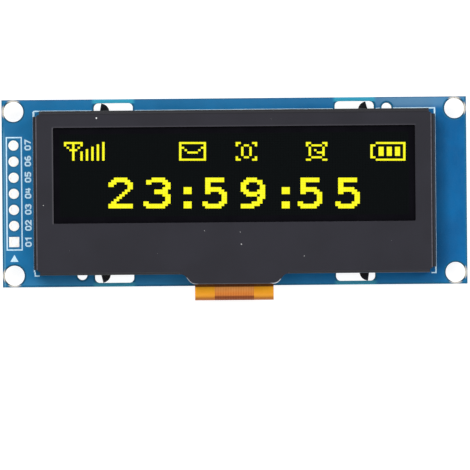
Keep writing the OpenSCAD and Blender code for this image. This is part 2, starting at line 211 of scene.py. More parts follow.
# ------------------------------------------------------------ materials
def mat_board(name, rear=False):
    g = Graph(name)
    v, x, y, z = g.xyz()
    ax, ay = g.absv(x), g.absv(y)
    edge = g.mn(g.sub(36.7, ax), g.sub(14.8, ay))
    hole = g.sub(g.hyp(g.sub(ax, 34.85), g.sub(ay, 12.95)), 1.6)
    px = g.mx(g.sub(g.absv(g.sub(ax, 19.05)), 2.35), 0.0)
    slot = g.sub(g.hyp(px, g.mx(g.sub(g.absv(g.sub(ay, 13.2)), 0.25), 0.0)), 0.75)
    loc = g.sub(g.mn(g.hyp(g.sub(x, 24.15), g.sub(y, 13.1)),
                     g.hyp(g.add(x, 24.15), g.add(y, 12.92))), 0.8)
    row = g.math("ROUND", g.math("DIVIDE", y, 2.54))
    pad = g.sub(g.hyp(g.add(x, 34.85), g.sub(y, g.mul(row, 2.54))), 0.8)
    pad = g.add(pad, g.step(ay, 8.6, 8.9, 0.0, 9.0))
    wob = g.mul(g.sub(g.noise(0.9, 2.0), 0.5), 0.10)
    # copper pour stops short of the sawn edges, the holes and the lands
    edge_p = g.mn(g.sub(36.7, ax), g.mn(g.add(14.8, y), g.add(g.sub(14.8, y), 0.2)))
    zone = g.mn(g.mn(g.sub(edge_p, 0.30), g.sub(hole, 0.30)), g.mn(g.sub(slot, 0.30), g.sub(pad, 0.24)))
    zone = g.mn(zone, g.sub(loc, 0.28))
    copper = g.step(g.add(zone, wob), -0.05, 0.07)
    # blue mask over copper, and over bare laminate
    tone = g.noise(0.11, 3.0, 0.6)
    fine = g.noise(5.0, 4.0, 0.6)
    west = g.mix(g.step(tone, 0.35, 0.65), lin((20, 104, 154)), lin((24, 116, 170)))
    east = g.mix(g.step(tone, 0.35, 0.65), lin((5, 88, 144)), lin((6, 102, 162)))
    over_cu = g.mix(g.step(x, -6.0, 33.0), west, east)
    # painted light: the board lighter along its top edge, more so towards the right
    high = g.mul(g.step(y, 12.9, 14.3), g.step(x, -30.0, 24.0, 0.25, 0.8))
    over_cu = g.mix(high, over_cu, lin((44, 118, 168)))
    # painted sheen: a reflection of the light near the top right of the board
    painted_sheen = g.mul(g.step(y, 12.7, 13.8), g.mul(g.step(x, 16.0, 27.0), g.step(x, 29.0, 35.0, 0.8, 0.35)))
    over_cu = g.mix(painted_sheen, over_cu, lin((104, 150, 186)))
    # painted shadow of the bezel on the board to its right
    beside = g.mul(g.step(x, 31.4, 31.9), g.step(x, 32.9, 34.4, 0.38, 0.0))
    over_cu = g.mix(g.mul(beside, g.step(ay, 11.5, 13.0, 1.0, 0.0)), over_cu, lin((0, 64, 108)))
    # painted light: the board lighter along its bottom edge, offsetting the bezel's shade there
    low = g.mul(g.step(y, -14.2, -12.8, 0.8, 0.0), g.step(x, -4.0, 8.0, 1.0, 0.28))
    over_cu = g.mix(low, over_cu, lin((46, 120, 166)))
    left = g.mul(g.step(x, -36.6, -33.0, 1.0, 0.0), g.step(ay, 6.0, 12.0, 0.4, 0.1))
    over_cu = g.mix(left, over_cu, lin((64, 112, 140)))
    bare = g.mix(g.step(fine, 0.35, 0.65), lin((10, 92, 132)), lin((18, 106, 146)))
    mask = g.mix(copper, bare, over_cu)
    mask = g.mix(g.step(fine, 0.45, 0.75, 0.0, 0.14), mask, lin((46, 128, 176)))
    # pale line along the left edge
    pale = g.mul(g.mul(g.step(x, -36.46, -36.40), g.step(x, -36.32, -36.24, 1.0, 0.0)), g.step(y, 8.0, 11.4, 0.55, 0.0))
    mask = g.mix(pale, mask, lin((120, 176, 200)))
    # dark lip round the holes and slots, and along the sawn edges
    rim = g.mn(g.mn(hole, slot), loc)
    lip = g.mul(g.step(rim, 0.0, 0.03), g.step(rim, 0.10, 0.20, 1.0, 0.0))
    lip = g.mx(lip, g.step(edge, 0.06, 0.16, 0.7, 0.0))
    thin = g.mul(g.step(ay, 14.05, 14.2), g.mul(g.step(slot, -0.05, 0.0), g.step(g.absv(g.sub(ax, 19.05)), 2.9, 3.6, 1.0, 0.0)))
    edges = g.mn(g.step(hole, 0.3, 0.4, 0.85, 0.42), g.sub(0.85, g.mul(thin, 0.8)))
    mask = g.mix(g.mul(lip, edges), mask, lin((10, 44, 74)))
    # light comes through the laminate where a slot leaves it thin
    mask = g.mix(g.mul(thin, 0.9), mask, g.mix(g.step(y, -1.0, 1.0), lin((52, 138, 164)), lin((56, 168, 200))))
    # the thin webs between the corner holes and the edges are scuffed pale
    web = g.mul(g.step(edge, 0.28, 0.42, 1.0, 0.0), g.step(hole, 0.10, 0.34, 1.0, 0.0))
    web = g.mul(web, g.step(fine, 0.30, 0.55, 0.7, 1.0))
    mask = g.mix(web, mask, lin((206, 200, 190)))
    # sawn and drilled walls: resin and glass layers
    lay = g.noise(1.0, 3.0, 0.6, vec=g.stretch(0.7, 0.7, 14.0))
    spk = g.noise(9.0, 3.0, 0.7)
    wall = g.mix(g.step(lay, 0.4, 0.62), lin((176, 164, 132)), lin((214, 205, 178)))
    wall = g.mix(g.step(spk, 0.55, 0.8, 0.0, 0.5), wall, lin((120, 112, 88)))
    lipz = g.mx(g.step(z, 1.545, 1.575), g.step(z, 0.055, 0.025, 0.0, 1.0))
    wall = g.mix(lipz, wall, lin((16, 82, 122)))
    face = g.step(g.absv(g.normal_z()), 0.6, 0.8)
    g.set(color=g.mix(face, wall, mask))
    r_face = g.step(g.noise(2.2, 3.0), 0.3, 0.7, 0.30, 0.42)
    g.set(rough=g.add(g.mul(face, g.sub(r_face, 0.75)), 0.75), spec=0.36)
    weave = g.mul(g.math("SINE", g.mul(x, 15.0)), g.math("SINE", g.mul(y, 15.0)))
    h = g.add(g.mul(copper, 0.9), g.add(g.mul(weave, 0.03), g.mul(g.noise(6.0, 3.0), 0.12)))
    h = g.add(h, g.mul(g.sub(1.0, face), g.mul(spk, 0.6)))
    g.bump(h, 0.55, 0.03)
    return g.mat


def mat_steel_paint():
    g = Graph("black_coat")
    v, x, y, z = g.xyz()
    ax, ay = g.absv(x), g.absv(y)
    n1 = g.noise(0.16, 3.0, 0.5)
    n2 = g.noise(14.0, 3.0, 0.6)
    n3 = g.noise(2.4, 4.0, 0.6)
    c = g.mix(g.step(n1, 0.3, 0.7), lin((37, 36, 43)), lin((39, 38, 46)))
    c = g.mix(g.step(n2, 0.5, 0.85, 0.0, 0.25), c, lin((50, 49, 56)))
    front = g.step(z, 4.0, 4.1)
    # the folds left and right: a painted highlight where each fold starts, and painted shade on the fold itself
    fx = g.mul(g.step(ay, 12.1, 12.2, 1.0, 0.0), g.step(z, 3.4, 3.6))
    axf = g.add(ax, g.step(x, -1.0, 1.0, -0.13, 0.0))
    dark = g.mul(fx, g.step(axf, 31.10, 31.18))
    c = g.mix(g.mul(dark, 0.9), c, lin((16, 14, 18)))
    # painted reflection of the blue board at the fold's outer edge
    c = g.mix(g.mul(fx, g.step(axf, 31.34, 31.46, 0.0, 0.75)), c, lin((28, 40, 56)))
    painted_fold_highlight = g.mul(g.mul(fx, g.mul(g.step(axf, 30.94, 31.0), g.step(axf, 31.07, 31.13, 1.0, 0.0))), g.step(n3, 0.3, 0.6, 0.5, 0.9))
    c = g.mix(painted_fold_highlight, c, lin((100, 96, 104)))
    # the lower fold: painted shade on it, and a faint painted highlight along its edge towards the right
    off = g.absv(g.add(x, 0.1))
    fy = g.mul(g.mul(g.step(off, 8.5, 8.9), g.step(ax, 30.6, 30.7, 1.0, 0.0)), g.step(z, 3.4, 3.6))
    painted_low_highlight = g.mul(fy, g.mul(g.step(y, -12.90, -12.82, 1.0, 0.0), g.step(y, -12.98, -12.93)))
    c = g.mix(g.mul(fy, g.step(y, -12.72, -12.6, 0.8, 0.0)), c, lin((14, 18, 24)))
    c = g.mix(g.mul(g.mul(painted_low_highlight, g.step(x, 4.0, 30.0, 0.0, 0.55)), g.step(n3, 0.3, 0.6, 0.6, 1.0)), c, lin((84, 96, 116)))
    # painted shade on the upper fold
    upd = g.mul(g.mul(g.step(y, 12.2, 12.4), g.step(ax, 30.4, 30.6, 1.0, 0.0)), g.step(z, 3.4, 3.6))
    c = g.mix(g.mul(upd, 0.6), c, lin((18, 17, 22)))
    c = g.mix(g.mul(upd, g.step(y, 12.6, 12.75, 0.0, 0.7)), c, lin((12, 12, 16)))
    # the tongue's rim: a bare sheared edge, with a painted highlight on it
    qx = g.mx(g.sub(off, 6.10), 0.0)
    qy = g.mx(g.sub(g.mul(y, -1.0), 13.15), 0.0)
    d = g.sub(g.hyp(qx, qy), 1.35)
    # straight run between the corner arc and the root arc
    run = g.sub(g.sub(g.mul(g.sub(off, 6.10), 0.7923), g.mul(g.add(y, 13.15), 0.6101)), 1.35)
    past = g.step(g.add(g.mul(g.sub(off, 6.10), 0.6101), g.mul(g.add(y, 13.15), 0.7923)), 0.0, 0.03)
    d = g.add(d, g.mul(past, g.sub(run, d)))
    rim = g.mul(g.step(d, -0.12, -0.08), front)
    corner = g.mul(g.step(off, 5.3, 6.3), g.step(y, -13.5, -13.2, 1.0, 0.0))
    corner = g.mul(corner, g.step(x, -1.0, 1.0, 0.5, 1.0))
    rim = g.mul(rim, g.mx(corner, g.step(y, -14.3, -14.2, 0.10, 0.0)))
    east = g.step(x, -1.0, 1.0)
    rim = g.mul(rim, g.add(g.mul(east, g.step(y, -13.95, -13.65, 1.0, 0.0)),
                           g.mul(g.sub(1.0, east), g.step(y, -13.6, -13.3, 1.0, 0.0))))
    c = g.mix(g.mul(rim, g.step(n3, 0.3, 0.6, 0.7, 1.0)), c, lin((206, 210, 216)))
    # painted highlight on the sheared edge of the window, left and upper
    wx = g.mul(g.mul(g.step(x, -28.74, -28.66), g.step(x, -28.5, -28.44, 1.0, 0.0)), g.step(g.absv(g.sub(y, 2.74)), 7.5, 7.7, 0.55, 0.0))
    wy = g.mul(g.mul(g.step(y, 10.28, 10.32), g.step(y, 10.42, 10.52, 1.0, 0.0)), g.step(ax, 28.5, 28.7, 0.3, 0.0))
    c = g.mix(g.mul(g.mx(wx, wy), front), c, lin((84, 82, 88)))
    g.set(color=c, spec=0.28, rough=g.step(n1, 0.3, 0.7, 0.52, 0.58))
    g.bump(g.add(g.mul(n2, 0.6), g.mul(g.noise(3.0, 3.0), 0.4)), 0.22, 0.012)
    return g.mat


def mat_leg():
    """metal of the twisted legs, with painted light, painted shade and a painted glow on the heads seen from the front
    """
    g = Graph("leg_metal")
    v, x, y, z = g.xyz()
    n = g.noise(1.6, 5.0, 0.65)
    w = g.step(n, 0.42, 0.6)
    dark = g.mix(w, lin((34, 31, 30)), lin((58, 55, 50)))
    pale = g.mix(w, lin((236, 233, 230)), lin((252, 250, 248)))
    grey = g.mix(w, lin((188, 188, 186)), lin((232, 231, 228)))
    steel = g.mix(w, lin((128, 126, 122)), lin((156, 154, 149)))
    # the twisted heads seen from the front: painted light on the inner half, painted shade on the rest
    ne = g.mul(g.step(x, 0.0, 1.0), g.step(y, 0.0, 1.0))
    sw = g.mul(g.step(x, -1.0, 0.0, 1.0, 0.0), g.step(y, -1.0, 0.0, 1.0, 0.0))
    se = g.mul(g.step(x, 0.0, 1.0), g.step(y, -1.0, 0.0, 1.0, 0.0))
    # the boundary leans: the dark part is a wedge
    lean = g.mul(se, g.mul(g.sub(g.absv(y), 13.0), 0.42))
    at = g.sub(g.sub(g.absv(x), lean), g.mul(sw, -0.24))
    q = g.step(at, 20.14, 20.50)
    front = g.mix(q, pale, dark)
    front = g.mix(ne, front, g.mix(g.step(y, 13.7, 14.15), grey, dark))
    up = g.mul(g.step(z, -1.0, -0.8), g.step(g.normal_z(), 0.02, 0.2))
    # a painted glow on the lit parts facing the front
    painted_glow = g.mul(g.mul(up, g.sub(1.0, g.mul(q, g.sub(1.0, ne)))), g.sub(1.0, g.mul(ne, 0.6)))
    g.set(color=g.mix(up, steel, front), metal=0.1, rough=0.5, emit=g.mix(painted_glow, (0, 0, 0, 1), lin((232, 228, 224))), emit_w=0.28)
    g.bump(g.noise(9.0, 4.0), 0.4, 0.02)
    return g.mat


def mat_polariser():
    g = Graph("polariser")
    v, x, y, z = g.xyz()
    dx = g.sub(27.5, g.absv(x))
    dy = g.sub(6.5, g.absv(g.sub(y, 2.74)))
    field = g.step(g.mn(dx, dy), -0.03, 0.03)
    # faint lattice of unlit dots
    u = g.math("FRACT", g.math("DIVIDE", g.add(x, 27.52), 0.43))
    w = g.math("FRACT", g.math("DIVIDE", g.add(y, 3.76), 0.375))
    cell = g.mul(g.mul(g.step(u, 0.02, 0.10), g.step(u, 0.90, 0.98, 1.0, 0.0)),
                 g.mul(g.step(w, 0.02, 0.10), g.step(w, 0.90, 0.98, 1.0, 0.0)))
    margin = g.mix(g.step(g.noise(0.3, 3.0), 0.3, 0.7), lin((11, 10, 15)), lin((14, 13, 18)))
    blank = g.mix(cell, lin((7, 9, 10)), lin((12, 15, 16)))
    g.set(color=g.mix(field, margin, blank), rough=0.09, spec=0.35)
    g.bump(g.noise(0.25, 2.0), 0.02, 0.02)
    return g.mat


def mat_lit():
    g = Graph("lit_dot")
    n = g.noise(1.3, 2.0)
    c = g.mix(g.step(n, 0.3, 0.7), lin((255, 250, 16)), lin((255, 255, 44)))
    g.set(color=lin((60, 58, 10)), emit=c, emit_w=0.98, rough=0.5, spec=0.1)
    return g.mat


def mat_flex():
    g = Graph("amber_film")
    v, x, y, z = g.xyz()
    off = g.absv(g.add(x, 0.15))
    tracks = g.step(off, 3.06, 3.16, 1.0, 0.0)
    n = g.noise(0.8, 3.0, 0.6)
    side = g.mix(g.step(n, 0.3, 0.7), lin((252, 166, 30)), lin((255, 178, 40)))
    mid = g.mix(g.step(n, 0.3, 0.7), lin((255, 178, 98)), lin((255, 170, 88)))
    # painted shade: the film darker towards its lower end
    mid = g.mix(g.step(y, -16.2, -15.2, 1.0, 0.0), mid, lin((222, 132, 54)))
    c = g.mix(tracks, side, mid)
    # painted shade on the bend and the lower part of the tail, deeper where copper lies under the film than next to it
    bend = g.step(z, 2.50, 2.70, 1.0, 0.0)
    c = g.mix(g.mul(bend, g.mul(tracks, 0.9)), c, lin((128, 54, 8)))
    c = g.mix(g.mul(g.step(y, -15.9, -15.4, 0.5, 0.0), g.sub(1.0, tracks)), c, lin((222, 142, 24)))
    c = g.mix(g.mul(g.step(z, 2.2, 2.7, 0.85, 0.0), g.sub(1.0, g.mul(tracks, 0.8))), c, lin((160, 86, 8)))
    # painted shadow under the tongue
    c = g.mix(g.step(y, -15.08, -14.88, 0.0, 0.92), c, lin((70, 24, 8)))
    c = g.mix(g.step(g.noise(7.0, 4.0), 0.5, 0.8, 0.0, 0.2), c, lin((250, 190, 90)))
    g.set(color=c, rough=0.44, spec=0.18)
    g.bump(g.add(g.mul(g.noise(1.2, 3.0), 0.7), g.mul(g.noise(12.0, 2.0), 0.2)), 0.25, 0.02)
    return g.mat


def mat_flex_track():
    g = Graph("film_over_copper")
    v, x, y, z = g.xyz()
    n = g.noise(2.0, 3.0, 0.6)
    c = g.mix(g.step(n, 0.3, 0.7), lin((238, 148, 70)), lin((246, 156, 78)))
    # painted shade: darker towards the lower end
    c = g.mix(g.step(y, -16.2, -15.2, 1.0, 0.0), c, lin((204, 114, 40)))
    off = g.absv(g.add(x, 0.15))
    # painted shade on the bend
    bend = g.step(z, 2.50, 2.70, 1.0, 0.0)
    c = g.mix(g.mul(bend, 0.9), c, lin((112, 44, 4)))
    # painted shadow under the tongue
    c = g.mix(g.step(y, -15.08, -14.88, 0.0, 0.92), c, lin((62, 22, 8)))
    g.set(color=c, rough=0.42, spec=0.12)
    g.bump(g.noise(6.0, 3.0), 0.2, 0.01)
    return g.mat


def mat_glass(name, tint):
    g = Graph(name)
    n = g.noise(0.4, 2.0)
    g.set(color=g.mix(g.step(n, 0.3, 0.7), lin(tint), lin([min(255, t + 8) for t in tint])),
          rough=0.06, ior=1.5, trans=0.75, alpha=0.75)
    g.bump(g.noise(0.5, 2.0), 0.03, 0.01)
    return g.mat


def mat_silk():
    g = Graph("ink")
    n = g.noise(9.0, 4.0, 0.7)
    g.set(color=g.mix(g.step(n, 0.35, 0.65), lin((188, 226, 248)), lin((214, 240, 252))),
          rough=0.6, spec=0.3)
    g.bump(n, 0.3, 0.01)
    return g.mat


def mat_tracks():
    g = Graph("mask_over_track")
    n = g.noise(3.0, 3.0, 0.6)
    g.set(color=g.mix(g.step(n, 0.3, 0.7), lin((34, 128, 186)), lin((42, 140, 198))),
          rough=0.34, spec=0.5)
    g.bump(g.noise(6.0, 3.0), 0.2, 0.01)
    return g.mat


M = {
    "board": mat_board("board"),
    "paint": mat_steel_paint(),
    "leg": mat_leg(),
    "polariser": mat_polariser(),
    "lit": mat_lit(),
    "flex": mat_flex(),
    "flex_track": mat_flex_track(),
    "glass": mat_glass("cell_glass", (176, 196, 190)),
    "ink": mat_silk(),
    "track": mat_tracks(),
    "tin": varied("tin", (254, 248, 240), (255, 254, 250), 3.0, 0.34, 0.48, metal=0.05,
                  bump_scale=5.0, bump=0.35, depth=0.02),
    "solder": varied("solder", (176, 178, 182), (206, 208, 212), 4.0, 0.22, 0.38, metal=0.95,
                     bump_scale=7.0, bump=0.35, depth=0.02),
    "lead": varied("lead_plating", (186, 187, 190), (212, 213, 216), 5.0, 0.3, 0.44, metal=0.9,
                   bump_scale=14.0, bump=0.3, depth=0.01),
    "mould": varied("mould_compound", (26, 26, 28), (38, 38, 40), 9.0, 0.5, 0.64,
                    bump_scale=26.0, bump=0.4, depth=0.012),
    "ferrite": varied("ferrite", (50, 50, 52), (68, 68, 70), 11.0, 0.55, 0.7,
                      bump_scale=22.0, bump=0.5, depth=0.02),
    "ceramic": varied("chip_ceramic", (150, 118, 84), (172, 140, 104), 6.0, 0.42, 0.55,
                      bump_scale=24.0, bump=0.3, depth=0.01),
    "resistor": varied("resistor_glaze", (20, 20, 23), (32, 32, 36), 6.0, 0.22, 0.34,
                       bump_scale=16.0, bump=0.25, depth=0.01),
    "wire": varied("wire", (160, 84, 44), (190, 108, 60), 4.0, 0.25, 0.4, metal=0.8,
                   bump_scale=8.0, bump=0.3, depth=0.02),
    "adhesive": varied("cured_adhesive", (196, 184, 146), (212, 202, 168), 3.0, 0.4, 0.55),
    "desiccant": varied("desiccant", (226, 226, 222), (238, 238, 234), 5.0, 0.7, 0.85),
    "coating": varied("clear_coating", (150, 156, 166), (176, 182, 190), 2.0, 0.12, 0.25, coat=0.4),
    "tape": varied("foam_tape", (214, 212, 200), (232, 230, 220), 7.0, 0.75, 0.9,
                   bump_scale=20.0, bump=0.6, depth=0.03),
    "silicon": varied("silicon", (78, 80, 92), (96, 98, 112), 2.0, 0.12, 0.2, metal=0.5),
    "layers": varied("dot_layers", (24, 24, 20), (34, 34, 28), 3.0, 0.2, 0.3, metal=0.3),
}

looks = {
    "pcb": "board", "header_pads": "tin", "flex_pads": "tin", "part_pads": "tin",
    "bezel_frame": "paint", "front_glass": "glass", "rear_cap_glass": "glass",
    "emissive_stack": "layers", "edge_seal": "adhesive", "desiccant_sheet": "desiccant",
    "polariser": "polariser", "driver_chip": "silicon", "bonding_film": "adhesive",
    "ledge_coating": "coating", "mounting_tape": "tape", "flex_tail": "flex",
    "flex_solder": "solder", "part_solder": "solder",
    "boost_chip_body": "mould", "boost_chip_leads": "lead",
    "regulator_body": "mould", "regulator_leads": "lead",
    "schottky_body": "mould", "schottky_leads": "lead",
    "inductor_core": "ferrite", "inductor_winding": "wire", "inductor_shield": "ferrite",
    "inductor_terminals": "lead",
    "small_capacitors": "ceramic", "small_capacitor_ends": "lead",
    "small_resistors": "resistor", "small_resistor_ends": "lead",
    "large_capacitors": "ceramic", "large_capacitor_ends": "lead",
}
for name, key in looks.items():
    ob = nodes[name]
    if not ob.material_slots:
        ob.data.materials.append(M[key])
    for s in ob.material_slots:
        s.material = M[key]


# ------------------------------------------------------------ mesh builder
class Build:
    def __init__(self):
        self.v = []
        self.f = []
        self.m = []

    def prism(self, poly, z0, z1, mat=0):
        """closed prism on a counter-clockwise outline"""
        area = sum(poly[i][0] * poly[(i + 1) % len(poly)][1] - poly[(i + 1) % len(poly)][0] * poly[i][1]
                   for i in range(len(poly)))
        if area < 0:
            poly = poly[::-1]
        b = len(self.v)
        n = len(poly)
        self.v += [(p[0], p[1], z0) for p in poly] + [(p[0], p[1], z1) for p in poly]
        self.f.append(tuple(b + i for i in range(n))[::-1])
        self.f.append(tuple(b + n + i for i in range(n)))
        self.m += [mat, mat]
        for i in range(n):
            j = (i + 1) % n
            self.f.append((b + i, b + j, b + n + j, b + n + i))
            self.m.append(mat)

    def box(self, x0, y0, x1, y1, z0, z1, mat=0):
        self.prism([(x0, y0), (x1, y0), (x1, y1), (x0, y1)], z0, z1, mat)

    def disc(self, x, y, r, z0, z1, n=24, mat=0):
        self.prism([(x + r * math.cos(2 * math.pi * i / n), y + r * math.sin(2 * math.pi * i / n))
                    for i in range(n)], z0, z1, mat)

    def ribbon(self, pts, w, z0, z1, mat=0, cap=True):
        """a line of constant width with mitred corners and, if asked, round ends"""
        left, right = [], []
        n = len(pts)
        for i in range(n):
            p = Vector((pts[i][0], pts[i][1]))
            d0 = (p - Vector(pts[i - 1][:2])).normalized() if i else None
            d1 = (Vector(pts[i + 1][:2]) - p).normalized() if i < n - 1 else None
            if d0 is None:
                d0 = d1
            if d1 is None:
                d1 = d0
            t = (d0 + d1).normalized()
            nrm = Vector((-t.y, t.x))
            k = w / 2 / max(0.35, nrm.dot(Vector((-d0.y, d0.x))))
            left.append(tuple(p + nrm * k))
            right.append(tuple(p - nrm * k))
        if cap:
            def arc(c, a0):
                return [(c[0] + w / 2 * math.cos(a0 + math.pi * i / 6), c[1] + w / 2 * math.sin(a0 + math.pi * i / 6))
                        for i in range(1, 6)]
            d = Vector(pts[-1][:2]) - Vector(pts[-2][:2])
            a = math.atan2(d.y, d.x) - math.pi / 2
            end = arc(pts[-1], a)
            d = Vector(pts[0][:2]) - Vector(pts[1][:2])
            a = math.atan2(d.y, d.x) - math.pi / 2
            start = arc(pts[0], a)
            poly = right + end + left[::-1] + start
        else:
            poly = right + left[::-1]
        self.prism(poly, z0, z1, mat)

    def make(self, name, mats, smooth=False, body="root"):
        me = bpy.data.meshes.new(name)
        me.from_pydata([(a * MM, b * MM, c * MM) for a, b, c in self.v], [], self.f)
        for q in mats:
            me.materials.append(q)
        me.polygons.foreach_set("material_index", self.m)
        me.polygons.foreach_set("use_smooth", [smooth] * len(self.f))
        me.validate()
        me.update()
        ob = bpy.data.objects.new(name, me)
        scene.collection.objects.link(ob)
        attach(ob, body)
        return ob


Z1 = 1.6          # front face of the board
INK = 0.014


# ------------------------------------------------------------ bezel with eased edges
def eased(node, name, width, angle, mats):
    """the CAD sheet with its sharp edges above the board rounded a little"""
    src = nodes[node]
    me = src.data.copy()
    me.name = name
    bm = bmesh.new()
    bm.from_mesh(me)
    bmesh.ops.remove_doubles(bm, verts=bm.verts, dist=2e-6)
    bmesh.ops.dissolve_limit(bm, angle_limit=math.radians(0.6), verts=bm.verts, edges=bm.edges)
    bm.normal_update()

    def held(v):
        # the folds run out beside the tongue, so no edge is rounded there
        x, y, z = v.co.x / MM, v.co.y / MM, v.co.z / MM
        mouth = -13.0 < y < -12.35 and (abs(x - 8.35) < 0.12 or abs(x + 8.55) < 0.12)
        return z < 1.7 or mouth

    sharp = [e for e in bm.edges
             if e.calc_face_angle(0.0) > math.radians(angle) and not any(held(v) for v in e.verts)]
    bmesh.ops.bevel(bm, geom=sharp, offset=width * MM, offset_type="OFFSET", segments=2, profile=0.5,
                    affect="EDGES", clamp_overlap=False, material=-1)
    bm.normal_update()
    for f in bm.faces:
        f.smooth = True
        f.material_index = 1 if f.calc_center_median().z < -0.00001 else 0
    for e in bm.edges:
        e.smooth = e.calc_face_angle(0.0) < math.radians(50)
    bm.to_mesh(me)
    bm.free()
    ob = bpy.data.objects.new(name, me)
    scene.collection.objects.link(ob)
    if me.has_custom_normals:
        bpy.context.view_layer.objects.active = ob
        ob.select_set(True)
        bpy.ops.mesh.customdata_custom_splitnormals_clear()
        ob.select_set(False)
    me.materials.clear()
    for q in mats:
        me.materials.append(q)
    even = ob.modifiers.new("even", "WEIGHTED_NORMAL")
    even.keep_sharp = True
    dg = bpy.context.evaluated_depsgraph_get()
    final = bpy.data.meshes.new_from_object(ob.evaluated_get(dg))
    ob.modifiers.clear()
    ob.data = final
    final.name = name
    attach(ob, "root")
    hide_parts(node)
    return ob


bezel = eased("bezel_frame", "bezel_sheet", 0.03, 38, [M["paint"], M["leg"]])


# ------------------------------------------------------------ lit dots
PX, PY = 0.43, 0.375
AX, AY = 0.15 - 64 * PX, 8.99

two = [(2, 0, 6, 0), (1, 1, 7, 1), (0, 2, 2, 2), (6, 2, 8, 2), (0, 3, 1, 3), (7, 3, 8, 4),
       (6, 5, 7, 5), (5, 6, 6, 6), (4, 7, 5, 7), (3, 8, 4, 8), (2, 9, 3, 9), (1, 10, 2, 10), (0, 11, 8, 12)]
three = [(3, 0, 7, 0), (1, 1, 8, 1), (1, 2, 2, 2), (7, 2, 9, 2), (8, 3, 9, 3), (7, 4, 9, 4), (4, 5, 8, 6),
         (7, 7, 9, 7), (8, 8, 9, 9), (0, 10, 1, 10), (7, 10, 9, 10), (0, 11, 8, 11), (1, 12, 7, 12)]
five = [(1, 0, 7, 1), (1, 2, 2, 3), (1, 4, 6, 4), (1, 5, 7, 5), (1, 6, 2, 6), (6, 6, 8, 6), (7, 7, 8, 9),
        (0, 10, 1, 10), (6, 10, 8, 10), (0, 11, 7, 11), (1, 12, 6, 12)]
nine = [(2, 0, 5, 0), (1, 1, 7, 1), (0, 2, 2, 2), (6, 2, 7, 2), (0, 3, 1, 4), (7, 3, 8, 4), (0, 5, 2, 5),
        (6, 5, 8, 5), (1, 6, 8, 6), (2, 7, 5, 7), (7, 7, 8, 7), (6, 8, 8, 8), (6, 9, 7, 9), (4, 10, 7, 10),
        (0, 11, 6, 11), (0, 12, 4, 12)]
colon = [(0, 4, 2, 6), (0, 10, 2, 12)]
aerial = [(0, 0, 6, 0), (0, 1, 0, 1), (3, 1, 3, 1), (6, 1, 6, 1), (1, 2, 1, 2), (3, 2, 3, 2), (5, 2, 5, 2),
          (2, 3, 4, 3), (3, 4, 3, 7)] + [(6 + 2 * k, 4 - k, 6 + 2 * k, 7) for k in range(5)]
letter = [(0, 0, 9, 0), (0, 7, 9, 7), (0, 1, 0, 6), (9, 1, 9, 6), (1, 2, 1, 2), (8, 2, 8, 2), (2, 3, 2, 3),
          (7, 3, 7, 3), (3, 4, 6, 4)]
ring = [(0, 0, 1, 0), (6, 0, 7, 0), (0, 7, 1, 7), (6, 7, 7, 7), (0, 1, 0, 1), (7, 1, 7, 1), (0, 6, 0, 6),
        (7, 6, 7, 6), (3, 1, 4, 1), (3, 6, 4, 6), (2, 2, 2, 5), (5, 2, 5, 5)]
clock = [(0, 0, 1, 0), (6, 0, 7, 0), (0, 1, 0, 1), (2, 1, 5, 1), (7, 1, 7, 1), (1, 2, 1, 5), (6, 2, 6, 5),
         (3, 3, 3, 3), (4, 4, 5, 4), (2, 6, 5, 6), (0, 7, 1, 7), (6, 7, 7, 7)]
cell = [(2, 0, 12, 0), (2, 7, 12, 7), (0, 1, 1, 1), (0, 6, 1, 6), (0, 2, 0, 5), (12, 1, 12, 6),
        (3, 2, 4, 5), (6, 2, 7, 5), (9, 2, 10, 5)]
shown = [(two, 18, 18, -0.20), (three, 31, 18, -0.28), (colon, 45, 18, 0.03), (five, 52, 18, -0.01),
         (nine, 66, 18, 0.0), (colon, 81, 18, 0.0), (five, 87, 18, -0.06), (five, 101, 18, -0.15),
         (aerial, 1, 3, 0.09), (letter, 44, 3, -0.27), (ring, 64, 3, 0.04), (clock, 90, 3, -0.08),
         (cell, 114, 3, -0.25)]
lit = []
for shape, c, r, dx in shown:
    seen = set()
    for (c0, r0, c1, r1) in shape:
        for i in range(c0, c1 + 1):
            for j in range(r0, r1 + 1):
                seen.add((c + i, r + j))
    rim = 0.032 if r < 10 else 0.018
    for (i, j) in sorted(seen):
        # the gap is narrow towards a lit neighbour and wide towards a dark one
        side = [0.004 if (i + u, j + v) in seen else rim for u, v in ((-1, 0), (1, 0), (0, 1), (0, -1))]
        lit.append((AX + i * PX + dx, AY - j * PY, side))
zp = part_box("polariser")[1].z / MM
b = Build()
ang = math.radians(-0.50)
ca, sa = math.cos(ang), math.sin(ang)
for (x0, y1, (gl, gr, gb, gt)) in lit:
    q = [(x0 + gl, y1 - PY + gb), (x0 + PX - gr, y1 - PY + gb), (x0 + PX - gr, y1 - gt), (x0 + gl, y1 - gt)]
    q = [(0.15 + (a - 0.15) * ca - (e - 2.74) * sa, 2.74 + (a - 0.15) * sa + (e - 2.74) * ca) for a, e in q]
    b.prism(q, zp - 0.01, zp + 0.004)
b.make("lit_dots", [M["lit"]])


